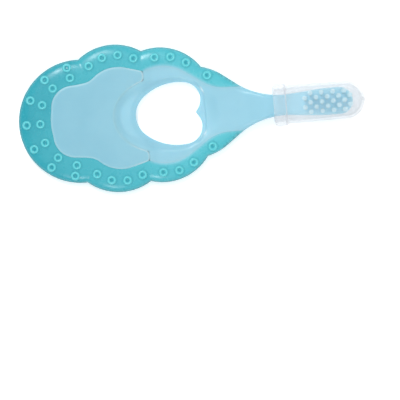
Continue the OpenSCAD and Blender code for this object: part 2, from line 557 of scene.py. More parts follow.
@dataclass(frozen=True)
class Datum:
    """Where the part's stations, offsets and heights lie in the frame."""

    start: float
    middle: float
    floor: float

    @classmethod
    def from_part(cls) -> "Datum":
        """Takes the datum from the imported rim, whose end is station 0 and whose back is height 0."""
        low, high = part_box("grip_rim")
        return cls(low.x, (low.y + high.y) / 2, low.z)

    def to_frame(self, points: np.ndarray) -> np.ndarray:
        """Turns millimetres on the part into metres in the frame."""
        return points * MM + np.array([self.start, self.middle, self.floor])

    def from_frame(self, points: np.ndarray) -> np.ndarray:
        """Turns metres in the frame into millimetres on the part."""
        return (points - np.array([self.start, self.middle, self.floor])) / MM


# ---------------------------------------------------------------------------
# The handle's form, which the rim, the core and the pad share
# ---------------------------------------------------------------------------


@dataclass(frozen=True)
class HandleForm:
    """Outlines and surfaces of the handle.

    The plan is symmetric, so the outlines are drawn for positive offsets. The outer edge is a
    ring of round lobes that runs into the neck by a straight and a hollow flare.
    """

    back_lobe: Arc = Arc(22.2, 0.0, 22.2)
    side_lobes: tuple[Arc, ...] = (Arc(35.3, 7.4, 19.2), Arc(51.3, 5.3, 19.0), Arc(62.8, -2.5, 19.05))
    wedge_root: tuple[float, float] = (74.16, 12.79)
    wedge_knee: tuple[float, float] = (78.9, 9.27)
    flare: Arc = Arc(95.6, 31.75, 28.0)
    flare_start: float = 233.4
    window_end: float = 238.1
    flare_end: float = 275.0
    head_side: Arc = Arc(113.4, -74.1, 79.0)
    head_tip: Arc = Arc(115.6, 0.0, 4.9)

    nose: Arc = Arc(31.5, 0.0, 20.0)
    shoulder: Arc = Arc(20.0, 5.0, 8.0)
    waist: tuple[float, float] = (25.6, 13.6)
    cloud_lobe: Arc = Arc(36.2, 6.4, 12.0)
    horn: tuple[float, float] = (45.9, 16.1)
    crown: Arc = Arc(52.3, 2.8, 14.7)
    sweep: Arc = Arc(75.5, 23.4, 15.4)

    dish_centre: float = 53.7
    dish_length: float = 19.4
    dish_width: float = 13.9
    dish_depth: float = 1.15
    heart_back: Arc = Arc(51.0, 0.0, 8.8)
    heart_lobe: Arc = Arc(59.45, 4.8, 6.35)
    heart_flank_radius: float = 18.9

    rim_thickness: float = 5.0
    plate_back: float = 0.4
    rim_roll: float = 7.5
    neck_roll: float = 1.4
    head_roll: float = 1.3
    back_roll: float = 3.0
    roll_power: float = 2.4
    rise_span: tuple[float, float] = (78.0, 12.0)
    rise: float = 1.9
    neck_roll_span: tuple[float, float] = (68.0, 18.0)
    head_roll_span: tuple[float, float] = (98.0, 5.0)
    thin_span: tuple[float, float] = (70.0, 14.0)
    back_roll_extra: float = 0.9
    shelf_start: tuple[float, float] = (44.5, 5.0)
    shelf_end: tuple[float, float] = (70.0, 9.0)
    shelf_slope: tuple[float, float] = (-2.6, 3.8)
    shelf_drop: float = 0.55
    outline_spacing: float = 0.45
    hem: float = 0.012

    # Outlines ---------------------------------------------------------------

    def lobes(self) -> tuple[Arc, ...]:
        """The lobes of one side, from the back lobe to the neck."""
        return (self.back_lobe, *self.side_lobes)

    def lobed_edge(self, share: float) -> tuple[Points, Points]:
        """The lobes' edge and the flare beside it, moved inward.

        Args:
            share: How far inward, as a share of the rim's roll.

        Returns:
            The line from the end of the grip to the tip of the rim, and the notches on it.
        """
        depth = share * self.rim_roll
        lobes = self.lobes()
        notches = [a.meets(b, depth) for a, b in zip(lobes, lobes[1:])]
        parts = []
        start = 180.0
        for k, lobe in enumerate(lobes):
            last = k == len(lobes) - 1
            finish = lobe.angle_of(np.array(self.wedge_root)) if last else lobe.angle_of(notches[k])
            shrunk = Arc(lobe.station, lobe.offset, lobe.radius - depth)
            parts.append(shrunk.sweep(start, finish, self.outline_spacing)[0 if k == 0 else 1 :])
            if not last:
                start = lobes[k + 1].angle_of(notches[k])
        run = np.array(self.wedge_knee) - np.array(self.wedge_root)
        inward = np.array([run[1], -run[0]]) / np.linalg.norm(run)
        straight = np.array(self.wedge_root) + np.linspace(0.0, 1.0, 13)[1:, None] * run
        tip = self.flare.sweep(self.flare_start, self.window_end, self.outline_spacing)[1:]
        flared = np.vstack([straight, tip])
        normals = np.vstack([np.tile(inward, (len(straight), 1)), _unit(tip - self.flare.centre)])
        local = share * self.roll(flared[:, 0])[:, None]
        parts.append(flared + normals * local)
        return np.vstack(parts), np.array(notches)

    def outer_edge(self) -> Points:
        """The rim's outline, from the lower tip round the end of the grip to the upper tip."""
        upper = self.lobed_edge(0.0)[0]
        return np.vstack([mirrored(upper)[:-1], upper])

    def cloud(self) -> Points:
        """The rim's inner edge beside the pad, from the lower horn round to the upper one."""
        upper = np.vstack([
            self.nose.sweep(180, 166),
            self.shoulder.sweep(172, 84),
            [self.waist],
            self.cloud_lobe.sweep(137, 75),
            [self.horn],
        ])
        whole = np.vstack([mirrored(upper)[:-1], upper])
        return soften(whole, 0.7, self.outline_spacing)

    def window_side(self) -> Points:
        """The rim's inner edge from the upper horn to the upper tip of the rim."""
        tip = self.flare.sweep(self.window_end - 1, self.window_end)[-1:]
        line = np.vstack([[self.horn], self.crown.sweep(113, 54.2), self.sweep.sweep(234.2, 270), tip])
        return soften(line, 0.5, self.outline_spacing)

    def head_edge(self) -> Points:
        """The outline of neck and head, from the upper tip of the rim round to the lower one."""
        start = self.head_tip.station
        upper = np.vstack([
            self.flare.sweep(self.window_end, self.flare_end),
            self.head_side.sweep(95, 90),
            [[start, self.head_tip.radius]],
            self.head_tip.sweep(90, 0)[1:],
        ])
        upper = resample(upper, self.outline_spacing)
        return np.vstack([upper, mirrored(upper)[1:]])

    def pad_side(self) -> Points:
        """The pad's free edge, from the upper horn along the finger dish to the lower horn."""
        reach = self.horn[0] - self.dish_centre
        turn = math.degrees(math.acos(reach / self.dish_length))
        angles = np.radians(np.linspace(turn, 180.0, 40))
        curve = np.column_stack([
            self.dish_centre + self.dish_length * np.cos(angles), self.dish_width * np.sin(angles)
        ])
        upper = resample(np.vstack([[self.horn], curve]), self.outline_spacing)
        return np.vstack([upper, mirrored(upper)[1:]])

    def heart_flank(self) -> Arc:
        """The large arc along the heart's side, tangent to its back and to its front lobe."""
        back, lobe = self.heart_back, self.heart_lobe
        run = lobe.centre - back.centre
        gap = float(np.linalg.norm(run))
        to_back = self.heart_flank_radius - back.radius
        to_lobe = self.heart_flank_radius - lobe.radius
        along = (to_back**2 - to_lobe**2 + gap**2) / (2 * gap)
        across = math.sqrt(to_back**2 - along**2)
        centre = back.centre + along / gap * run + across / gap * np.array([run[1], -run[0]])
        return Arc(centre[0], centre[1], self.heart_flank_radius)

    def heart(self) -> Points:
        """The closed outline of the finger opening, with its cusp a little rounded."""
        flank = self.heart_flank()
        start, end = flank.angle_of(self.heart_back.centre), flank.angle_of(self.heart_lobe.centre)
        cusp = -math.degrees(math.asin(self.heart_lobe.offset / self.heart_lobe.radius))
        upper = np.vstack([
            self.heart_back.sweep(180, start), flank.sweep(start, end)[1:],
            self.heart_lobe.sweep(end, cusp)[1:],
        ])
        return soften(np.vstack([upper, mirrored(upper)[1:-1]]), 0.4, self.outline_spacing, True)

    def window(self) -> Points:
        """The closed outline of the rim's window, shut across the neck."""
        side = self.window_side()
        return np.vstack([self.cloud()[:-1], side, mirrored(side)[:-1]])

    # Surfaces ---------------------------------------------------------------

    def depth(self, points: Points) -> np.ndarray:
        """How far each point lies inside the handle's outline, with a crease between lobes.

        A hair's breadth along the outline counts as its edge, so that the top and the back meet.
        """
        p = np.column_stack([points[:, 0], np.abs(points[:, 1])])
        lobed = np.max([lobe.depth(p) for lobe in self.lobes()], axis=0)
        root, knee = np.array(self.wedge_root), np.array(self.wedge_knee)
        run = (knee - root) / np.linalg.norm(knee - root)
        along = (p - root) @ run
        straight = (p - root) @ np.array([run[1], -run[0]])
        flared = -self.flare.depth(p)
        wedge = np.where(along < np.linalg.norm(knee - root), straight, flared)
        result = np.where(along > 0, wedge, lobed)
        past_neck = p[:, 0] > self.flare.station
        result = np.where(past_neck, self.half_width(p[:, 0]) - p[:, 1], result)
        result = np.where(p[:, 0] > self.head_tip.station, self.head_tip.depth(p), result)
        return np.maximum(result - self.hem, 0.0)

    def half_width(self, stations: np.ndarray) -> np.ndarray:
        """Half the width of neck and head, forward of the narrowest place."""
        edge = self.head_edge()
        edge = edge[(edge[:, 1] > 0) & (edge[:, 0] > 85.0)]
        return np.interp(stations, edge[:, 0], edge[:, 1])

    def roll(self, stations: np.ndarray) -> np.ndarray:
        """Width over which the top rolls down to the edge."""
        to_neck = ramp(stations, self.neck_roll_span)
        to_head = ramp(stations, self.head_roll_span)
        neck = self.rim_roll + (self.neck_roll - self.rim_roll) * to_neck
        return neck + (self.head_roll - self.neck_roll) * to_head

    def middle(self, stations: np.ndarray) -> np.ndarray:
        """Height of the middle of the handle's thickness."""
        rise = ramp(stations, self.rise_span)
        return self.rim_thickness / 2 - 0.1 * ramp(stations, self.thin_span) + self.rise * rise

    def half_thickness(self, stations: np.ndarray) -> np.ndarray:
        """Half the handle's thickness."""
        rise = ramp(stations, self.rise_span)
        return self.rim_thickness / 2 - 0.5 * ramp(stations, self.thin_span) + 0.1 * rise

    def top(self, points: Points) -> np.ndarray:
        """The handle's upper surface, before the shelf and the dish are taken out of it."""
        x = points[:, 0]
        share = np.maximum(self.depth(points), 0.0) / self.roll(x)
        return self.middle(x) + self.half_thickness(x) * bulge(share, self.roll_power)

    def bottom(self, points: Points) -> np.ndarray:
        """The handle's back."""
        x = points[:, 0]
        width = np.minimum(self.roll(x) + self.back_roll_extra, self.back_roll)
        share = np.maximum(self.depth(points), 0.0) / width
        return self.middle(x) - self.half_thickness(x) * bulge(share, self.roll_power)

    def window_distance(self, points: Points) -> np.ndarray:
        """Distance to the window's edge: positive in the window, negative on the rim."""
        side = self.window_side()
        line = np.vstack([mirrored(side), self.cloud()[1:-1], side])
        away = distance_to(points, line)
        return np.where(inside(points, self.window()), away, -away)

    def shelf(self, points: Points) -> np.ndarray:
        """How far the surface sinks from the rim to the shelf round the finger dish."""
        x = points[:, 0]
        along = ramp(x, self.shelf_start) * (1 - ramp(x, self.shelf_end))
        return self.shelf_drop * along * ramp(self.window_distance(points), self.shelf_slope)

    def dish(self, points: Points) -> np.ndarray:
        """Where each point lies in the finger dish: 0 in the middle and 1 at its edge."""
        x = (points[:, 0] - self.dish_centre) / self.dish_length
        return np.hypot(x, points[:, 1] / self.dish_width)


def _unit(vectors: Points) -> Points:
    """Vectors of length 1 in the same directions."""
    return vectors / np.linalg.norm(vectors, axis=1, keepdims=True)


# ---------------------------------------------------------------------------
# Finishes
# ---------------------------------------------------------------------------


def linear(colour: str) -> tuple[float, float, float, float]:
    """Turns an sRGB hex colour into the linear values that a shader takes.

    Args:
        colour: Six hex digits after a hash sign.

    Returns:
        Linear red, green and blue, and an alpha of 1.
    """
    values = [int(colour[i : i + 2], 16) / 255 for i in (1, 3, 5)]
    red, green, blue = [v / 12.92 if v <= 0.04045 else ((v + 0.055) / 1.055) ** 2.4 for v in values]
    return red, green, blue, 1.0


def add_node(tree: bpy.types.NodeTree, kind: str, values: Optional[dict] = None,
             links: Optional[dict] = None, **settings: object) -> bpy.types.Node:
    """Adds a node.

    Args:
        tree: The tree that it goes into.
        kind: The node's type.
        values: Input values, by the input's name or number.
        links: Output sockets that feed the inputs, by the input's name or number.
        **settings: The node's own settings.

    Returns:
        The new node.
    """
    node = tree.nodes.new(kind)
    for name, value in settings.items():
        setattr(node, name, value)
    for key, value in (values or {}).items():
        node.inputs[key].default_value = value
    for key, source in (links or {}).items():
        tree.links.new(source, node.inputs[key])
    return node


@dataclass(frozen=True)
class Finish:
    """A material: a shader with its own fixed values, and nodes for what varies over it."""

    name: str
    colour: str
    roughness: float = 0.4
    ior: float = 1.5

    def shader_values(self) -> dict:
        """The values that are the same all over the surface."""
        return {"Base Color": linear(self.colour), "Roughness": self.roughness, "IOR": self.ior}

    def detail(self, tree: bpy.types.NodeTree, shader: bpy.types.Node) -> None:
        """Adds what varies over the surface."""
        raise NotImplementedError

    def make(self) -> bpy.types.Material:
        """Makes the material."""
        material = bpy.data.materials.new(self.name)
        material.use_nodes = True
        tree = material.node_tree
        tree.nodes.clear()
        shader = add_node(tree, "ShaderNodeBsdfPrincipled", self.shader_values())
        add_node(tree, "ShaderNodeOutputMaterial", links={"Surface": shader.outputs["BSDF"]})
        self.detail(tree, shader)
        return material

    def noise(self, tree: bpy.types.NodeTree, size: float, detail: float = 2.0) -> bpy.types.NodeSocket:
        """A noise pattern whose patches are about that many millimetres across."""
        where = add_node(tree, "ShaderNodeTexCoord")
        pattern = add_node(tree, "ShaderNodeTexNoise", {"Scale": 1.0 / (size * MM), "Detail": detail},
                           {"Vector": where.outputs["Object"]})
        return pattern.outputs["Fac"]

    def mix(self, tree: bpy.types.NodeTree, share: bpy.types.NodeSocket, first: object,
            second: object) -> bpy.types.NodeSocket:
        """Mixes two colours, each a hex colour or another node's output."""
        node = add_node(tree, "ShaderNodeMix", links={0: share}, data_type="RGBA")
        for key, colour in ((6, first), (7, second)):
            if isinstance(colour, str):
                node.inputs[key].default_value = linear(colour)
            else:
                tree.links.new(colour, node.inputs[key])
        return node.outputs[2]

    def spread(self, tree: bpy.types.NodeTree, source: bpy.types.NodeSocket, low: float, high: float,
               to_low: float = 0.0, to_high: float = 1.0) -> bpy.types.NodeSocket:
        """Maps one range of values onto another."""
        values = {"From Min": low, "From Max": high, "To Min": to_low, "To Max": to_high}
        return add_node(tree, "ShaderNodeMapRange", values, {"Value": source}).outputs["Result"]

    def tone(self, tree: bpy.types.NodeTree, name: str) -> bpy.types.NodeSocket:
        """A value that the mesh carries at its points."""
        return add_node(tree, "ShaderNodeAttribute", attribute_name=name).outputs["Fac"]

    def relief(self, tree: bpy.types.NodeTree, shader: bpy.types.Node, height: bpy.types.NodeSocket,
               depth: float) -> None:
        """Bumps the surface by a pattern, to a depth in millimetres."""
        bump = add_node(tree, "ShaderNodeBump", {"Strength": 1.0, "Distance": depth * MM}, {"Height": height})
        tree.links.new(bump.outputs["Normal"], shader.inputs["Normal"])


@dataclass(frozen=True)
class MouldedElastomer(Finish):
    """Overmoulded TPE: rubbery and a little see-through, so light spreads in it and its thin lip over the
    core is paler, with the fine grain and soft gloss that a polished mould leaves. Its colour also carries
    painted light: a painted highlight on the nubs' crests, painted shade in their dimples and round them,
    painted shade along the silhouette, and a darkening towards the end of the grip that is partly painted
    shade."""

    # Paler tone towards the neck; the darker end of the grip is partly painted shade.
    pale_colour: str = "#55c1cf"
    lip_colour: str = "#90cfe2"
    # Painted highlight on the nubs' crests; the random mottling also mixes towards this colour.
    crest_highlight_and_mottle_colour: str = "#6ad6de"
    # Painted shade in the nubs' dimples and painted shadow round them.
    dimple_shade_colour: str = "#1d9aaa"
    # Painted shade along the rim's silhouette.
    edge_shade_colour: str = "#2f8996"
    grain: float = 0.5
    length: float = 62.0

    def shader_values(self) -> dict:
        """Adds the spread of light inside the elastomer."""
        return super().shader_values() | {
            "Subsurface Weight": 0.2, "Subsurface Radius": (0.5, 0.9, 1.0), "Subsurface Scale": 1.0 * MM,
            "Specular IOR Level": 0.4,
        }

    def detail(self, tree: bpy.types.NodeTree, shader: bpy.types.Node) -> None:
        """Colour along the grip, partly painted shade; painted highlight and shade on the nubs; the lip over
        the core; painted shade along the silhouette.
        """
        where = add_node(tree, "ShaderNodeTexCoord")
        axes = add_node(tree, "ShaderNodeSeparateXYZ", links={"Vector": where.outputs["Object"]})
        start = CAD_BOX[0].x
        # Darker towards the end of the grip, paler towards the neck: partly painted shade, partly the tone of
        # thinner elastomer.
        along = self.spread(tree, axes.outputs["X"], start, start + self.length * MM)
        body = self.mix(tree, along, self.colour, self.pale_colour)
        body = self.mix(tree, self.spread(tree, self.noise(tree, 9.0), 0.35, 0.65, 0.0, 0.12), body,
                        self.crest_highlight_and_mottle_colour)
        # Painted highlight on the crests of the nubs.
        body = self.mix(tree, self.tone(tree, "crest"), body, self.crest_highlight_and_mottle_colour)
        # Painted shade in the dimples and painted shadow round each nub.
        body = self.mix(tree, self.tone(tree, "dimple"), body, self.dimple_shade_colour)
        body = self.mix(tree, self.tone(tree, "lip"), body, self.lip_colour)
        # Painted shade along the silhouette.
        body = self.mix(tree, self.tone(tree, "edge"), body, self.edge_shade_colour)
        tree.links.new(body, shader.inputs["Base Color"])
        gloss = self.spread(tree, self.noise(tree, 3.0), 0.3, 0.7,
                            self.roughness - 0.04, self.roughness + 0.05)
        tree.links.new(gloss, shader.inputs["Roughness"])
        self.relief(tree, shader, self.noise(tree, self.grain), 0.004)


@dataclass(frozen=True)
class MouldedPolypropylene(Finish):
    """Tinted translucent PP: milky, so light spreads further in it than in the elastomer, and brighter where
    it is thin, with the satin skin of a lightly blasted mould. Painted highlights sit at both ends of the
    step by the opening and along the pad's edge and horns. A faint glow on the head stands for the light that
    comes up through it."""

    pale_colour: str = "#a9def0"
    # Colour of the painted highlights.
    highlight_colour: str = "#e4f5fb"
    through_colour: str = "#8ad0da"
    through_light: float = 0.19
    grain: float = 0.6

    def shader_values(self) -> dict:
        """Adds the spread of light inside the plastic."""
        return super().shader_values() | {
            "Subsurface Weight": 0.35, "Subsurface Radius": (0.6, 0.9, 1.0), "Subsurface Scale": 2.0 * MM,
            "Emission Color": linear(self.through_colour),
        }

    def detail(self, tree: bpy.types.NodeTree, shader: bpy.types.Node) -> None:
        """Colour by thickness, painted highlights, and the mould's faint grain; on the pad the thickness tone
        carries a painted highlight along its edge.
        """
        body = self.mix(tree, self.tone(tree, "thin"), self.colour, self.pale_colour)
        cloudy = self.spread(tree, self.noise(tree, 12.0), 0.35, 0.65, 0.0, 0.2)
        body = self.mix(tree, cloudy, body, self.pale_colour)
        # Painted highlights: glints at the ends of the step by the opening, and pale lines at the pad's
        # horns.
        body = self.mix(tree, self.tone(tree, "painted_highlight"), body, self.highlight_colour)
        tree.links.new(body, shader.inputs["Base Color"])
        glow = self.spread(tree, self.tone(tree, "lit"), 0.0, 1.0, 0.0, self.through_light)
        tree.links.new(glow, shader.inputs["Emission Strength"])
        gloss = self.spread(tree, self.noise(tree, 4.0), 0.3, 0.7,
                            self.roughness - 0.03, self.roughness + 0.05)
        tree.links.new(gloss, shader.inputs["Roughness"])
        self.relief(tree, shader, self.noise(tree, self.grain), 0.003)


@dataclass(frozen=True)
class ClearPolypropylene(Finish):
    """Clarified PP, moulded thin: nearly clear where one looks straight through its wall, with a
    grey-white haze that thickens where the wall is seen edge-on."""

    face_haze: float = 0.12
    edge_haze: float = 0.45
    # Strength of the painted highlight along the collar's step.
    step_highlight: float = 0.42

    def detail(self, tree: bpy.types.NodeTree, shader: bpy.types.Node) -> None:
        """Haze by the angle that the wall is seen at, slow waves from the flow of the melt, and a painted
        highlight along the collar's step.
        """
        facing = add_node(tree, "ShaderNodeLayerWeight", {"Blend": 0.35}).outputs["Facing"]
        waves = self.spread(tree, self.noise(tree, 5.0), 0.3, 0.7, -0.015, 0.025)
        haze = self.spread(tree, facing, 0.0, 1.0, self.face_haze, self.edge_haze)
        wavy = add_node(tree, "ShaderNodeMath", links={0: haze, 1: waves}, operation="ADD")
        # Painted highlight along the collar's step, laid on as extra opacity.
        step = self.spread(tree, self.tone(tree, "step"), 0.0, 1.0, 0.0, self.step_highlight)
        total = add_node(tree, "ShaderNodeMath", links={0: wavy.outputs["Value"], 1: step},
                         operation="ADD", use_clamp=True)
        tree.links.new(total.outputs["Value"], shader.inputs["Alpha"])
        gloss = self.spread(tree, self.noise(tree, 5.0), 0.3, 0.7, self.roughness, self.roughness + 0.06)
        tree.links.new(gloss, shader.inputs["Roughness"])
        self.relief(tree, shader, self.noise(tree, 6.0), 0.01)


@dataclass(frozen=True)
class DrawnNylon(Finish):
    """Drawn nylon filament: milky white, painted bluer and darker towards the roots as shade and as the
    head's tint cast on them.
    The strands pipe light along their length, which a faint glow stands for."""

    # Painted shade and painted tint of the head at the roots; the filaments' random tint mixes towards it
    # too.
    root_shade_and_strand_colour: str = "#a4deeb"
    piped_colour: str = "#9fd6e2"
    piped_light: float = 0.15
    root: float = 6.4
    tip: float = 13.0

    def shader_values(self) -> dict:
        """Adds the spread of light from strand to strand."""
        return super().shader_values() | {
            "Subsurface Weight": 0.8, "Subsurface Radius": (1.0, 1.0, 1.0), "Subsurface Scale": 0.8 * MM,
            "Emission Color": linear(self.piped_colour), "Emission Strength": self.piped_light,
        }

    def detail(self, tree: bpy.types.NodeTree, shader: bpy.types.Node) -> None:
        """Colour from root to tip, with painted shade towards the roots, and a little difference between
        filaments.
        """
        where = add_node(tree, "ShaderNodeTexCoord")
        axes = add_node(tree, "ShaderNodeSeparateXYZ", links={"Vector": where.outputs["Object"]})
        floor = CAD_BOX[0].z
        up = self.spread(tree, axes.outputs["Z"], floor + self.root * MM, floor + self.tip * MM)
        # Painted shade and tint, fading from the roots up to the tips.
        body = self.mix(tree, up, self.root_shade_and_strand_colour, self.colour)
        body = self.mix(tree, self.tone(tree, "strand"), body, self.root_shade_and_strand_colour)
        tree.links.new(body, shader.inputs["Base Color"])


@dataclass(frozen=True)
class StampedBrass(Finish):
    """Stamped brass wire: warm and bright, with fine scratches from the die."""

    def shader_values(self) -> dict:
        """Makes it a metal, which keeps the shader's own IOR."""
        values = super().shader_values() | {"Metallic": 1.0}
        values.pop("IOR")
        return values

    def detail(self, tree: bpy.types.NodeTree, shader: bpy.types.Node) -> None:
        """Scratches that show as streaks in the gloss."""
        worn = self.spread(tree, self.noise(tree, 0.3, 4.0), 0.3, 0.7, self.roughness, self.roughness + 0.2)
        tree.links.new(worn, shader.inputs["Roughness"])
        self.relief(tree, shader, self.noise(tree, 0.2), 0.003)


@dataclass(frozen=True)
class LitAcrylic(Finish):
    """White acrylic sheet lit from below, as on a light table, so shadows on it are faint."""

    glow: float = 0.27

    def shader_values(self) -> dict:
        """Adds the light that comes through the sheet."""
        return super().shader_values() | {
            "Emission Color": linear(self.colour), "Emission Strength": self.glow, "Specular IOR Level": 0.0,
        }

    def detail(self, tree: bpy.types.NodeTree, shader: bpy.types.Node) -> None:
        """A faint unevenness in the sheet."""
        uneven = self.spread(tree, self.noise(tree, 60.0), 0.3, 0.7, self.roughness, self.roughness + 0.05)
        tree.links.new(uneven, shader.inputs["Roughness"])


RIM_FINISH = MouldedElastomer("moulded_teal_tpe", "#24a0b1", 0.27, 1.5)
CORE_FINISH = MouldedPolypropylene("moulded_blue_pp", "#93cbde", 0.34, 1.49)
# The pad's pale colour is the colour of its painted edge highlight.
PAD_FINISH = MouldedPolypropylene("moulded_blue_tpe", "#82bed2", 0.4, 1.5, pale_colour="#a0d4e4")
CAP_FINISH = ClearPolypropylene("moulded_clear_pp", "#e6e8ee", 0.06, 1.49)
BRISTLE_FINISH = DrawnNylon("drawn_nylon", "#e6f5fa", 0.35, 1.53)
ANCHOR_FINISH = StampedBrass("stamped_brass", "#d8b46a", 0.25)
SHEET_FINISH = LitAcrylic("lit_white_acrylic", "#ffffff", 0.6, 1.49)


def dress(piece: bpy.types.Object, finish: Finish) -> None:
    """Gives a piece one finish all over."""
    piece.data.materials.clear()
    piece.data.materials.append(finish.make())


def place(piece: bpy.types.Object, body: Body, slot: Slot, *nodes: str) -> None:
    """Fastens a piece to its body and lets it stand for CAD nodes.

    Args:
        piece: The finished piece.
        body: The body that it rides on.
        slot: The material slot that it stands for; not used.
        *nodes: The CAD nodes that it replaces.
    """
    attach(piece, body.value)
    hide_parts(*nodes)


# ---------------------------------------------------------------------------
# Sub-assemblies
# ---------------------------------------------------------------------------


@dataclass
class GripRim:
    """The soft overmoulded rim with its ring-shaped massage nubs."""

    form: HandleForm
    datum: Datum
    nub_radius: float = 1.65
    dimple_radius: float = 0.68
    nub_ring_centre: tuple[float, float] = (22.5, 0.0)
    nub_height: float = 0.45
    lip_radius: float = 0.06
    feather: float = 1.0
    spacing: float = 0.75
    dimple_depth: float = 0.1
    pad_end: tuple[float, float] = (43.0, 4.0)
    nub_tone_foot: tuple[float, float] = (3.0, 0.5)
    # Strength of the painted highlight on the nubs' crests.
    crest_highlight_strength: float = 0.85
    # Strengths of the painted shade in a dimple and the painted shadow round a nub.
    dimple_shade_strength: float = 0.75
    moat_shadow_strength: float = 0.45
    lip_strength: float = 0.85
    # Strength of the painted shade along the silhouette.
    edge_shade_strength: float = 0.8
    edge_width: float = 0.45

    def nub_centres(self) -> Points:
        """Places of the nubs: two rows round the back lobe and one along each side."""
        back, sides = Arc(*self.nub_ring_centre, 0.0), self.form.side_lobes
        upper = [(back, 19.7 + 0.05 * k, 180 - 26.4 * k) for k in range(4)]
        upper += [(back, 14.75 + 0.42 * k, 180 - 26.6 * k) for k in range(4)]
        upper += [(sides[0], 14.85 + 0.25 * k, 125.4 - 21.6 * k) for k in range(4)]
        upper += [(sides[1], 15.45 + 0.48 * k, 93 - 21.2 * k) for k in range(3)]
        upper += [(sides[2], 16.5, 68.3)]
        centres = []
        for lobe, reach, angle in upper:
            turn = math.radians(angle)
            x, y = lobe.centre + reach * np.array([math.cos(turn), math.sin(turn)])
            centres += [(x, y)] if abs(y) < 1e-6 else [(x, y), (x, -y)]
        return np.array(centres)

    @property
    def nub_crest(self) -> float:
        """Radius of the crest of a nub's ring."""
        return (self.nub_radius + self.dimple_radius) / 2

    @property
    def nub_half_width(self) -> float:
        """Half the width of a nub's ring."""
        return (self.nub_radius - self.dimple_radius) / 2

    def nub_reach(self, points: Points) -> np.ndarray:
        """Distance from each point to the nearest nub's centre."""
        return np.min([np.linalg.norm(points - c, axis=1) for c in self.nub_centres()], axis=0)

    def nubs(self, points: Points) -> np.ndarray:
        """Height of the nubs over the rim: a round-topped ring with a sunk dimple."""
        reach = self.nub_reach(points)
        across = np.clip(np.abs(reach - self.nub_crest) / self.nub_half_width, 0.0, 1.0)
        dimple = self.dimple_depth * smooth((self.dimple_radius - reach) / 0.2)
        return self.nub_height * np.sqrt(1.0 - across**2) - dimple

    def top(self, points: Points) -> np.ndarray:
        """The rim's upper surface, with a rounded lip beside the pad."""
        away = -self.form.window_distance(points)
        beside_pad = 1 - ramp(points[:, 0], self.pad_end)
        lip = beside_pad * fillet(away, self.lip_radius)
        return self.form.top(points) - self.form.shelf(points) + self.nubs(points) - lip

    def inner_edge(self) -> Points:
        """The rim's inner edge, from the lower tip round the pad to the upper tip."""
        side = self.form.window_side()
        return np.vstack([mirrored(side)[:-1], self.form.cloud(), side[1:]])

    def plan(self, with_nubs: bool) -> Plan:
        """Cuts the rim's plan, close together where the surface turns.

        Args:
            with_nubs: Whether the nubs are cut into it, as on the upper side.

        Returns:
            The rim's plan.
        """
        form = self.form
        inner = self.inner_edge()
        maker = PlanMaker(np.vstack([form.outer_edge(), inner[::-1][1:-1]]))
        shares = bulge_steps(10, form.roll_power)[1:]
        if with_nubs:
            ring, half = self.nub_crest, self.nub_half_width
            reaches = [ring + half * share for share in (-1, -0.97, -0.8, -0.4, 0, 0.4, 0.8, 0.97, 1)]
            for centre in self.nub_centres():
                maker.dots(centre[None])
                for reach in (0.3, 0.5, *reaches, self.nub_radius + 0.2):
                    circle = Arc(centre[0], centre[1], reach).sweep(0, 360, 0.33)[:-1]
                    if reach in (reaches[0], reaches[-1]):
                        maker.line(circle, closed=True)
                    else:
                        maker.dots(circle)
        creases = []
        edges = []
        for share in shares:
            line, notches = form.lobed_edge(share)
            creases.append(notches)
            deep = form.depth(line) / form.roll(line[:, 0])
            clear = (deep > share * 0.97) & (deep < share * 1.04 + 0.003)
            edges.append(line[clear & (form.window_distance(line) < -0.2)])
        for k in range(len(form.side_lobes)):
            start = form.lobed_edge(0.0)[1][k]
            crease = np.vstack([start, [row[k] for row in creases]])
            for line in (crease, crease * np.array([1, -1])):
                maker.line(line[1:])
        for line in edges:
            maker.scatter(np.vstack([line, mirrored(line)]), 0.05)
        for away in (0.1, 0.22, 0.35, 0.7):
            maker.scatter(inner + normals_of(inner, False) * away, 0.08)
        maker.fill(self.spacing)
        return maker.cut()

    def lip_tone(self, points: np.ndarray) -> np.ndarray:
        """Share of the core's colour that shows where the rim feathers out over it."""
        away = -self.form.window_distance(points[:, :2])
        along = smooth((points[:, 0] - 44.5) / 3.0) * (1 - 0.5 * smooth((points[:, 0] - 66.0) / 8.0))
        return along * (1 - smooth(away / self.feather)) * self.lip_strength

    def crest_highlight_tone(self, points: np.ndarray) -> np.ndarray:
        """Share of the painted highlight on the crest of a nub."""
        reach = self.nub_reach(points[:, :2])
        on_top = ramp(points[:, 2], self.nub_tone_foot)
        across = np.abs(reach - self.nub_crest) / self.nub_half_width
        return self.crest_highlight_strength * on_top * (1 - smooth(across - 0.45))

    def dimple_shade_tone(self, points: np.ndarray) -> np.ndarray:
        """Share of the painted shade in a dimple and the painted shadow in the moat round a nub."""
        reach = self.nub_reach(points[:, :2])
        on_top = ramp(points[:, 2], self.nub_tone_foot)
        dimple = 1 - smooth((reach - 0.35) / 0.4)
        moat = self.moat_shadow_strength * (1 - smooth(np.abs(reach - self.nub_radius - 0.15) / 0.4))
        return self.dimple_shade_strength * on_top * np.maximum(dimple, moat)

    def edge_shade_and_highlight_tone(self, points: np.ndarray) -> np.ndarray:
        """Share of the painted shade along the silhouette."""
        return self.edge_shade_strength * (1 - smooth(self.form.depth(points[:, :2]) / self.edge_width))

    def build(self) -> bpy.types.Object:
        """Builds and dresses the rim."""
        bottom = self.form.bottom
        shell = Shell("rim_overmould")
        shell.sheet(self.plan(True), self.top)
        shell.sheet(self.plan(False), bottom)
        shell.wall(self.inner_edge(), bottom, self.top)
        # Tones: the lip, painted highlight on the crests, painted shade in and round the nubs, painted shade
        # along the silhouette.
        piece = shell.build(self.datum, {
            "lip": self.lip_tone, "crest": self.crest_highlight_tone, "dimple": self.dimple_shade_tone,
            "edge": self.edge_shade_and_highlight_tone,
        })
        dress(piece, RIM_FINISH)
        place(piece, Body.BRUSH, Slot.RIM, "grip_rim")
        return piece


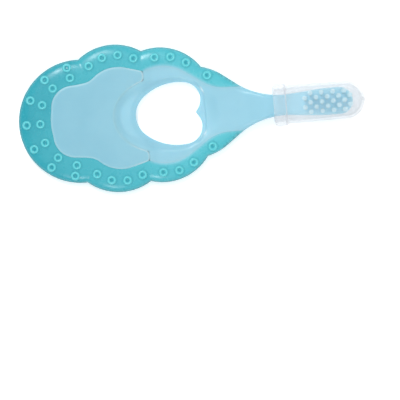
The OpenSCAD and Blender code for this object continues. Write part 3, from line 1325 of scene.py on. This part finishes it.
@dataclass
class TuftField:
    """The tufts of bristle and the bores and anchors that hold them."""

    datum: Datum
    columns: int = 9
    first: float = 103.4
    pitch: float = 1.95
    pair_offset: float = 1.6
    triple_offset: float = 3.2
    bore_radius: float = 0.8
    bore_floor: float = 3.4
    head_face: float = 6.4
    tip: float = 14.9
    anchor_top: float = 4.95
    strand_radius: float = 0.105
    strand_pitch: float = 0.222
    rings: int = 3
    fan: float = 0.06
    splay: float = 0.12
    stray: float = 0.02
    anchor_half: float = 0.26
    anchor_gap: float = 0.05
    crown: float = 0.25
    unevenness: float = 0.06
    first_seed: int = 100

    def places(self) -> list[tuple[float, float]]:
        """Places of the tufts: columns of two and of three in turn."""
        found = []
        for c in range(self.columns):
            row = (-self.pair_offset, self.pair_offset)
            if c % 2:
                row = (-self.triple_offset, 0.0, self.triple_offset)
            found += [(self.first + c * self.pitch, y) for y in row]
        return found

    def packing(self) -> list[tuple[float, float]]:
        """Places of the strands in a tuft, packed in rings of six."""
        found = []
        for a in range(-self.rings, self.rings + 1):
            for b in range(-self.rings, self.rings + 1):
                if abs(a + b) <= self.rings:
                    x = self.strand_pitch * (a + b / 2)
                    found.append((x, self.strand_pitch * b * math.sqrt(0.75)))
        return found

    def strand(self, root: Vector, lean: Vector, tip: float) -> list[np.ndarray]:
        """One strand with a rounded tip, as rings of points.

        Args:
            root: Foot of the strand.
            lean: How far its tip stands from straight above the foot.
            tip: Height of its tip.

        Returns:
            Rings of six points, from the foot to the tip.
        """
        turn = np.radians(np.arange(0, 360, 60))
        circle = np.column_stack([np.cos(turn), np.sin(turn)])
        heights = [root.z, self.head_face, (self.head_face + tip) / 2, tip - 0.06, tip - 0.015, tip]
        widths = [1.0, 1.0, 1.0, 1.0, 0.85, 0.5]
        rings = []
        for z, width in zip(heights, widths):
            rise = max(0.0, (z - self.head_face) / (self.tip - self.head_face))
            centre = np.array([root.x + lean.x * rise**1.5, root.y + lean.y * rise**1.5])
            ring = centre + circle * self.strand_radius * width
            rings.append(np.column_stack([ring, np.full(6, z)]))
        return rings

    def build_tuft(self, number: int, spot: tuple[float, float]) -> bpy.types.Object:
        """Builds and dresses one tuft.

        Args:
            number: The tuft's number, from 1.
            spot: Its station and offset.

        Returns:
            The tuft.
        """
        dice = random.Random(self.first_seed + number)
        shell = Shell(f"bristles_{number:02d}")
        centre_station = self.first + (self.columns - 1) * self.pitch / 2
        lean_x = (spot[0] - centre_station) * self.fan
        lean_y = spot[1] * self.fan
        tones: list[float] = []
        for x, y in self.packing():
            over_anchor = abs(x) < self.anchor_half
            foot = self.anchor_top + self.anchor_gap if over_anchor else self.bore_floor
            root = Vector((spot[0] + x, spot[1] + y, foot))
            lean = Vector((
                lean_x + x * self.splay + dice.gauss(0, self.stray),
                lean_y + y * self.splay + dice.gauss(0, self.stray),
                0.0,
            ))
            crown = self.crown * (x * x + y * y)
            tip = self.tip - crown - abs(dice.gauss(0, self.unevenness))
            shell.tube(self.strand(root, lean, tip))
            tones.append(max(0.0, dice.gauss(0.12, 0.1)))
        per_strand = 6 * 6
        piece = shell.build(self.datum, {
            "strand": lambda p: np.repeat(tones, per_strand)[: len(p)],
        })
        dress(piece, BRISTLE_FINISH)
        place(piece, Body.BRUSH, Slot.BRISTLE, f"tuft_{number:02d}")
        return piece

    def build(self) -> list[bpy.types.Object]:
        """Builds every tuft, and dresses the anchors that the part brings with it."""
        pieces = []
        for i, spot in enumerate(self.places(), 1):
            pieces.append(self.build_tuft(i, spot))
            dress(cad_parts[f"anchor_{i:02d}"], ANCHOR_FINISH)
        return pieces


@dataclass
class HandleCore:
    """The moulded plate, neck and head in one piece."""

    form: HandleForm
    tufts: TuftField
    datum: Datum
    pad_floor: float = 3.2
    back_slope: float = 0.13
    side_slope: float = 0.3
    bevel_width: float = 2.4
    bevel_drop: float = 0.5
    ledge_station: float = 67.6
    ledge_width: float = 1.8
    ledge_drop: float = 0.6
    ledge_slope: float = 0.7
    ledge_fade: tuple[float, float] = (9.0, 3.0)
    ledge_limit: float = 75.0
    side_slope_span: tuple[float, float] = (36.0, 10.0)
    front_span: tuple[float, float] = (59.0, 5.0)
    hole_fillet: float = 0.5
    spacing: float = 0.7
    seat_spacing: float = 3.0
    lit_span: tuple[float, float] = (91.0, 12.0)

    def hole_distance(self, points: Points) -> np.ndarray:
        """Distance from the edge of the finger opening."""
        return distance_to(points, self.form.heart(), True)

    def ledge(self, points: Points) -> np.ndarray:
        """How far the surface steps down in front of the finger opening."""
        x, y = points[:, 0], np.abs(points[:, 1])
        before_line = np.where(y < self.form.heart_lobe.offset, self.ledge_station - x, -1.0)
        in_step = np.maximum(before_line, self.ledge_width - self.hole_distance(points))
        return self.ledge_drop * smooth(in_step / self.ledge_slope) * (1 - ramp(y, self.ledge_fade))

    def top(self, points: Points) -> np.ndarray:
        """The core's upper surface: shelf, finger dish, bevel and ledge, then neck and head."""
        form = self.form
        x = points[:, 0]
        slope = self.back_slope + (self.side_slope - self.back_slope) * ramp(x, self.side_slope_span)
        dish = form.dish_depth * smooth((1 - form.dish(points)) / slope)
        hole = self.hole_distance(points)
        front = ramp(x, self.front_span)
        bevel = self.bevel_drop * (1 - smooth(hole / self.bevel_width)) * (1 - front)
        ledge = self.ledge(points) * front * (x < self.ledge_limit)
        round_edge = fillet(hole, self.hole_fillet)
        return form.top(points) - form.shelf(points) - dish - bevel - ledge - round_edge

    def bottom(self, points: Points) -> np.ndarray:
        """The core's back, a little higher than the rim's."""
        back = np.maximum(self.form.bottom(points), self.form.plate_back)
        return back + fillet(self.hole_distance(points), self.hole_fillet)

    def bores(self) -> list[Points]:
        """Closed outlines of the tuft bores."""
        return [Arc(x, y, self.tufts.bore_radius).sweep(0, 360, 0.3)[:-1] for x, y in self.tufts.places()]

    def plan(self, upper: bool) -> Plan:
        """Cuts the core's plan without the part under the pad.

        Args:
            upper: Whether this is the upper side, which has bores and the pad's seat.

        Returns:
            The core's plan.
        """
        form = self.form
        side, head = form.window_side(), form.head_edge()
        start = form.pad_side()[::-1] if upper else form.cloud()
        outline = np.vstack([start[:-1], side[:-1], head[:-1], mirrored(side)[:-1]])
        maker = PlanMaker(outline, [form.heart(), *(self.bores() if upper else [])])
        heart = form.heart()
        outward = normals_of(heart, True)
        for away in (0.02, 0.08, 0.18, 0.32, 0.5, 0.8, 1.2, 1.6, 2.0, 2.4):
            ring = heart + outward * away
            true = np.abs(self.hole_distance(ring) - away) < 0.02
            maker.scatter(ring[true], min(0.15, away * 0.6))
        if upper:
            for lag in (-0.5, -0.4, -0.3, -0.2, -0.1, 0.0, 0.1):
                y = np.arange(-4.8, 4.81, 0.4)
                maker.scatter(np.column_stack([np.full(len(y), self.ledge_station + lag), y]), 0.08)
                maker.scatter(heart + outward * (self.ledge_width + lag), 0.08)
        for share in bulge_steps(9, form.roll_power)[1:]:
            inward = normals_of(head, False) * -1
            ring = head + inward * (share * form.roll(head[:, 0]))[:, None]
            deep = form.depth(ring) / form.roll(ring[:, 0])
            maker.scatter(ring[np.abs(deep - share) < 0.05 * share + 0.01], 0.04)
        maker.fill(self.spacing)
        return maker.cut()

    def thin_tone(self, points: np.ndarray) -> np.ndarray:
        """How thin the core is, from 0 where it is full to 1 at the edge of the opening."""
        flat = points[:, :2]
        thickness = self.top(flat) - self.bottom(flat)
        near_hole = points[:, 0] < 76.0
        return 0.5 * smooth((4.2 - thickness) / 2.8) * near_hole

    def lit_tone(self, points: np.ndarray) -> np.ndarray:
        """How much light comes up through the head, between the tufts."""
        return ramp(points[:, 0], self.lit_span)

    def painted_highlight_tone(self, points: np.ndarray) -> np.ndarray:
        """Painted highlight: glints at both ends of the step by the opening."""
        flat = points[:, :2]
        across = np.abs(self.hole_distance(flat) - self.ledge_width + 0.3) / 0.45
        along = np.abs(np.abs(flat[:, 1]) - 7.9) / 1.7
        return 0.9 * (1 - smooth(across)) * (1 - smooth(along)) * (flat[:, 0] > 62.0)

    def build(self) -> bpy.types.Object:
        """Builds and dresses the core."""
        form = self.form
        shell = Shell("handle_and_head")
        shell.sheet(self.plan(True), self.top)
        shell.sheet(self.plan(False), self.bottom)
        seat = PlanMaker(np.vstack([form.cloud()[:-1], form.pad_side()[:-1]]))
        seat.fill(self.seat_spacing)
        seat_floor = level(self.pad_floor)
        shell.sheet(seat.cut(), seat_floor)
        shell.wall(form.pad_side(), seat_floor, self.top)
        shell.wall(form.cloud(), self.bottom, seat_floor)
        for side in (form.window_side(), mirrored(form.window_side())):
            shell.wall(side, self.bottom, self.top)
        shell.wall(form.heart(), self.bottom, self.top, closed=True)
        bore_floor = level(self.tufts.bore_floor)
        for bore in self.bores():
            shell.wall(bore, bore_floor, self.top, closed=True)
            shell.sheet(PlanMaker(bore).cut(), bore_floor)
        # Tones: thickness, painted glints at the ends of the step, and the glow under the tufts.
        piece = shell.build(self.datum, {
            "thin": self.thin_tone, "painted_highlight": self.painted_highlight_tone, "lit": self.lit_tone,
        })
        dress(piece, CORE_FINISH)
        place(piece, Body.BRUSH, Slot.CORE, "handle_core")
        return piece


@dataclass
class ThumbPad:
    """The raised cloud-shaped pad."""

    form: HandleForm
    datum: Datum
    floor: float = 3.2
    top_height: float = 5.2
    crown: float = 0.12
    edge_fillet: float = 0.08
    edge_drop: float = 0.15
    edge_width: float = 0.8
    gap: float = 0.01
    spacing: float = 0.9
    crown_width: float = 6.0
    corner_reach: float = 0.55
    horn_span: tuple[float, float] = (38.0, 5.0)

    def outline(self) -> Points:
        """The pad's closed outline, with its corners rounded and a hairline gap round it."""
        whole = np.vstack([self.form.cloud()[:-1], self.form.pad_side()[:-1]])
        soft = soften(whole, self.corner_reach, self.form.outline_spacing, True)
        return soft + normals_of(soft, True) * self.gap

    def top(self, points: Points) -> np.ndarray:
        """The pad's gently crowned face."""
        inward = distance_to(points, self.outline(), True)
        edge = self.edge_drop * (1 - smooth(inward / self.edge_width)) + fillet(inward, self.edge_fillet)
        return self.top_height + self.crown * smooth(inward / self.crown_width) - edge

    def edge_shade_and_highlight_tone(self, points: np.ndarray) -> np.ndarray:
        """Share of the painted highlight along the pad's rounded edge, with a paler tone that rises towards
        the front.
        """
        inward = distance_to(points[:, :2], self.outline(), True)
        along = 0.3 * smooth((points[:, 0] - 12.0) / 34.0)
        return np.maximum(0.7 * (1 - smooth((inward - 0.3) / 0.6)), along)

    def painted_highlight_tone(self, points: np.ndarray) -> np.ndarray:
        """Painted highlight: pale lines along the pad's edge at its two horns."""
        inward = distance_to(points[:, :2], self.outline(), True)
        return 0.4 * (1 - smooth((inward - 0.1) / 0.3)) * ramp(points[:, 0], self.horn_span)

    def build(self) -> bpy.types.Object:
        """Builds and dresses the pad."""
        outline = self.outline()
        maker = PlanMaker(outline)
        inward = normals_of(outline, True)
        if not inside(outline[:1] + inward[:1] * 0.3, outline)[0]:
            inward = -inward
        for away in (0.015, 0.06, 0.13, 0.22, 0.33, 0.45, 0.8, 1.4):
            ring = outline + inward * away
            true = np.abs(distance_to(ring, outline, True) - away) < 0.02
            maker.scatter(ring[true], min(0.2, away * 0.6))
        maker.fill(self.spacing)
        plan = maker.cut()
        shell = Shell("cloud_pad")
        shell.sheet(plan, self.top)
        underside = level(self.floor)
        shell.sheet(plan, underside)
        shell.wall(outline, underside, self.top, closed=True)
        # Tones: a painted highlight along the edge, taken as the thickness tone, and painted highlights at
        # the horns.
        piece = shell.build(self.datum, {"thin": self.edge_shade_and_highlight_tone, "painted_highlight": self.painted_highlight_tone})
        dress(piece, PAD_FINISH)
        place(piece, Body.BRUSH, Slot.PAD, "thumb_pad")
        return piece


@dataclass
class SlipOnCap:
    """The clear cap: a thin bullet-shaped shell with a round-edged collar and a vent."""

    datum: Datum
    mouth: float = 91.7
    tip: float = 124.7
    step: float = 96.25
    half_width: float = 7.1
    draft: float = 0.3
    wall: float = 0.95
    low: float = 0.85
    high: float = 16.9
    collar: float = 0.8
    lip_radius: float = 1.7
    vent_radius: float = 0.6
    nose_fall: float = 11.0
    nose_reach: float = 8.0
    sides: int = 72

    def half_widths(self, station: float, inner: bool) -> tuple[float, float]:
        """Half the width and half the height of the shell.

        Args:
            station: Where along the handle.
            inner: Whether the inner face is meant.

        Returns:
            Half the width and half the height, in mm.
        """
        wall = self.wall if inner else 0.0
        end = self.tip - wall
        tip_half = self.half_width - self.draft - wall
        nose = end - tip_half
        width = self.half_width - wall - self.draft * max(0.0, (station - self.mouth) / (nose - self.mouth))
        height = (self.high - self.low) / 2 - wall
        if station > nose:
            width = tip_half * math.sqrt(max(0.0, 1 - ((station - nose) / tip_half) ** 2))
        if station > end - self.nose_fall:
            height *= max(0.0, 1 - ((station - end + self.nose_fall) / self.nose_fall) ** 4) ** 0.25
        return width, height

    def section(self, station: float, inner: bool, grow: float = 0.0) -> np.ndarray:
        """A ring of points round the shell.

        Args:
            station: Where along the handle.
            inner: Whether the inner face is meant.
            grow: How far the ring stands out from that face, in mm.

        Returns:
            Points of three columns: station, offset and height.
        """
        width, height = self.half_widths(station, inner)
        width, height = width + grow, height + grow
        squareness = 2.0 + 2.0 * smooth(np.array([(width - 1.0) / 4.5]))[0]
        turn = np.radians(np.arange(self.sides) * 360.0 / self.sides)
        cosine, sine = np.cos(turn), np.sin(turn)
        power = 2.0 / (squareness + np.where(sine < 0, 0.9, 0.0) * (squareness - 2.0) / 2.0)
        y = width * np.sign(cosine) * np.abs(cosine) ** power
        z = height * np.sign(sine) * np.abs(sine) ** power
        middle = (self.low + self.high) / 2
        return np.column_stack([np.full(self.sides, station), y, middle + z])

    def vent_ring(self, station: float) -> np.ndarray:
        """A ring of points round the vent."""
        turn = np.radians(np.arange(self.sides) * 360.0 / self.sides)
        middle = (self.low + self.high) / 2
        return np.column_stack([
            np.full(self.sides, station),
            self.vent_radius * np.cos(turn), middle + self.vent_radius * np.sin(turn),
        ])

    def nose_stations(self, inner: bool) -> list[float]:
        """Stations along the nose, closer together towards the tip."""
        end = self.tip - (self.wall if inner else 0.0)
        turns = np.radians(np.linspace(90.0, 5.0, 18))
        return [end - self.nose_reach + self.nose_reach * math.cos(a) for a in turns]

    def rings(self) -> list[np.ndarray]:
        """All rings: out from the vent, back along the outside, round the collar and in again."""
        outer = [self.section(s, False) for s in self.nose_stations(False)[::-1]]
        body = np.linspace(self.tip - 8.8, self.step + 0.9, 10)
        outer += [self.section(s, False) for s in body]
        collar, lip = self.collar, self.lip_radius
        bead = [
            (0.45, 0.02), (0.2, 0.08), (0.08, 0.25), (0.0, 0.45), (-0.12, 0.57), (-0.5, 0.62), (-1.4, 0.74),
        ]
        turns = np.radians(np.linspace(0.0, 74.0, 8))
        bead += [(-2.85 - lip * math.sin(a), collar - lip + lip * math.cos(a)) for a in turns]
        bead += [(-4.55, -0.72), (-4.5, -0.86), (-4.3, -0.94), (-3.9, -0.95)]
        outer += [self.section(self.step + lag, False, out) for lag, out in bead]
        inner_body = np.linspace(self.step - 2.8, self.tip - self.wall - 8.8, 12)
        inner = [self.section(s, True) for s in inner_body]
        inner += [self.section(s, True) for s in self.nose_stations(True)]
        return [self.vent_ring(self.tip - 0.02), *outer, *inner, self.vent_ring(self.tip - self.wall)]

    def step_highlight_tone(self, points: np.ndarray) -> np.ndarray:
        """Painted highlight: a pale line where the tight bend between the collar and the body catches the
        light.
        """
        return 1 - smooth((np.abs(points[:, 0] - self.step) - 0.06) / 0.16)

    def build(self) -> bpy.types.Object:
        """Builds and dresses the cap."""
        shell = Shell("clear_cover")
        rings = self.rings()
        shell.tube([*rings, rings[0]], cap_start=False, cap_end=False)
        piece = shell.build(self.datum, {"step": self.step_highlight_tone})
        dress(piece, CAP_FINISH)
        place(piece, Body.CAP, Slot.CAP, "cap")
        return piece


# ---------------------------------------------------------------------------
# Studio
# ---------------------------------------------------------------------------


@dataclass
class Studio:
    """A white light table, a panel overhead, two small softboxes and a camera straight above."""

    datum: Datum
    frame_width: float = 144.0
    lens: float = 500.0
    sensor: float = 36.0
    look_at: tuple[float, float, float] = (62.78, -31.7, 3.0)
    roll: float = 4.58
    floor_size: float = 6.0
    floor_gap: float = 0.02
    world_strength: float = 0.55

    def add_camera(self) -> None:
        """Puts the camera above the brush, turned a little about its own axis."""
        data = bpy.data.cameras.new("camera")
        data.lens = self.lens
        data.sensor_width = self.sensor
        data.clip_start, data.clip_end = 0.01, 10.0
        camera = bpy.data.objects.new("camera", data)
        target = Vector(self.datum.to_frame(np.array(self.look_at)))
        distance = self.frame_width * MM * self.lens / self.sensor
        camera.location = target + Vector((0, 0, distance))
        camera.rotation_euler = (0, 0, -math.radians(self.roll))
        bpy.context.scene.collection.objects.link(camera)
        bpy.context.scene.camera = camera

    def add_light(self, name: str, spot: tuple[float, float, float], size: tuple[float, float],
                  power: float) -> None:
        """Adds a soft rectangular light aimed at the middle of the brush.

        Args:
            name: The light's name.
            spot: Its place in metres from the middle of the brush.
            size: Its length and width, in metres.
            power: Its power, in watts.
        """
        data = bpy.data.lights.new(name, "AREA")
        data.shape = "RECTANGLE"
        data.size, data.size_y = size
        data.energy = power
        light = bpy.data.objects.new(name, data)
        light.location = spot
        light.rotation_euler = (-Vector(spot)).to_track_quat("-Z", "Y").to_euler()
        bpy.context.scene.collection.objects.link(light)

    def add_floor(self) -> None:
        """Lays the white sheet that the brush lies on."""
        half = self.floor_size / 2
        mesh = bpy.data.meshes.new("light_table")
        height = self.datum.floor - self.floor_gap * MM
        corners = [(-half, -half, height), (half, -half, height), (half, half, height), (-half, half, height)]
        mesh.from_pydata(corners, [], [(0, 1, 2, 3)])
        floor = bpy.data.objects.new("light_table", mesh)
        bpy.context.scene.collection.objects.link(floor)
        dress(floor, SHEET_FINISH)

    def build(self) -> None:
        """Sets up the camera, the floor, the lights and the pale surroundings."""
        self.add_camera()
        self.add_floor()
        self.add_light("overhead_panel", (0.0, 0.0, 2.6), (2.2, 2.2), 10.8)
        self.add_light("upper_softbox", (-0.19, 0.5, 0.78), (0.13, 0.22), 3.0)
        self.add_light("lower_softbox", (-0.15, -0.6, 0.7), (0.09, 0.16), 1.4)
        world = bpy.data.worlds.new("studio")
        world.use_nodes = True
        background = world.node_tree.nodes["Background"]
        background.inputs["Color"].default_value = linear("#ffffff")
        background.inputs["Strength"].default_value = self.world_strength
        bpy.context.scene.world = world
        bpy.context.scene.view_settings.view_transform = "Standard"
        bpy.context.scene.view_settings.look = "None"
        LOG.info("studio: camera, floor and three lights")


def main() -> None:
    """Builds the brush piece by piece, then the studio round it."""
    logging.basicConfig(level=logging.INFO, format="%(name)s: %(message)s")
    datum = Datum.from_part()
    form = HandleForm()
    tufts = TuftField(datum)
    GripRim(form, datum).build()
    HandleCore(form, tufts, datum).build()
    ThumbPad(form, datum).build()
    tufts.build()
    SlipOnCap(datum).build()
    Studio(datum).build()


if __name__ == "__main__":
    main()
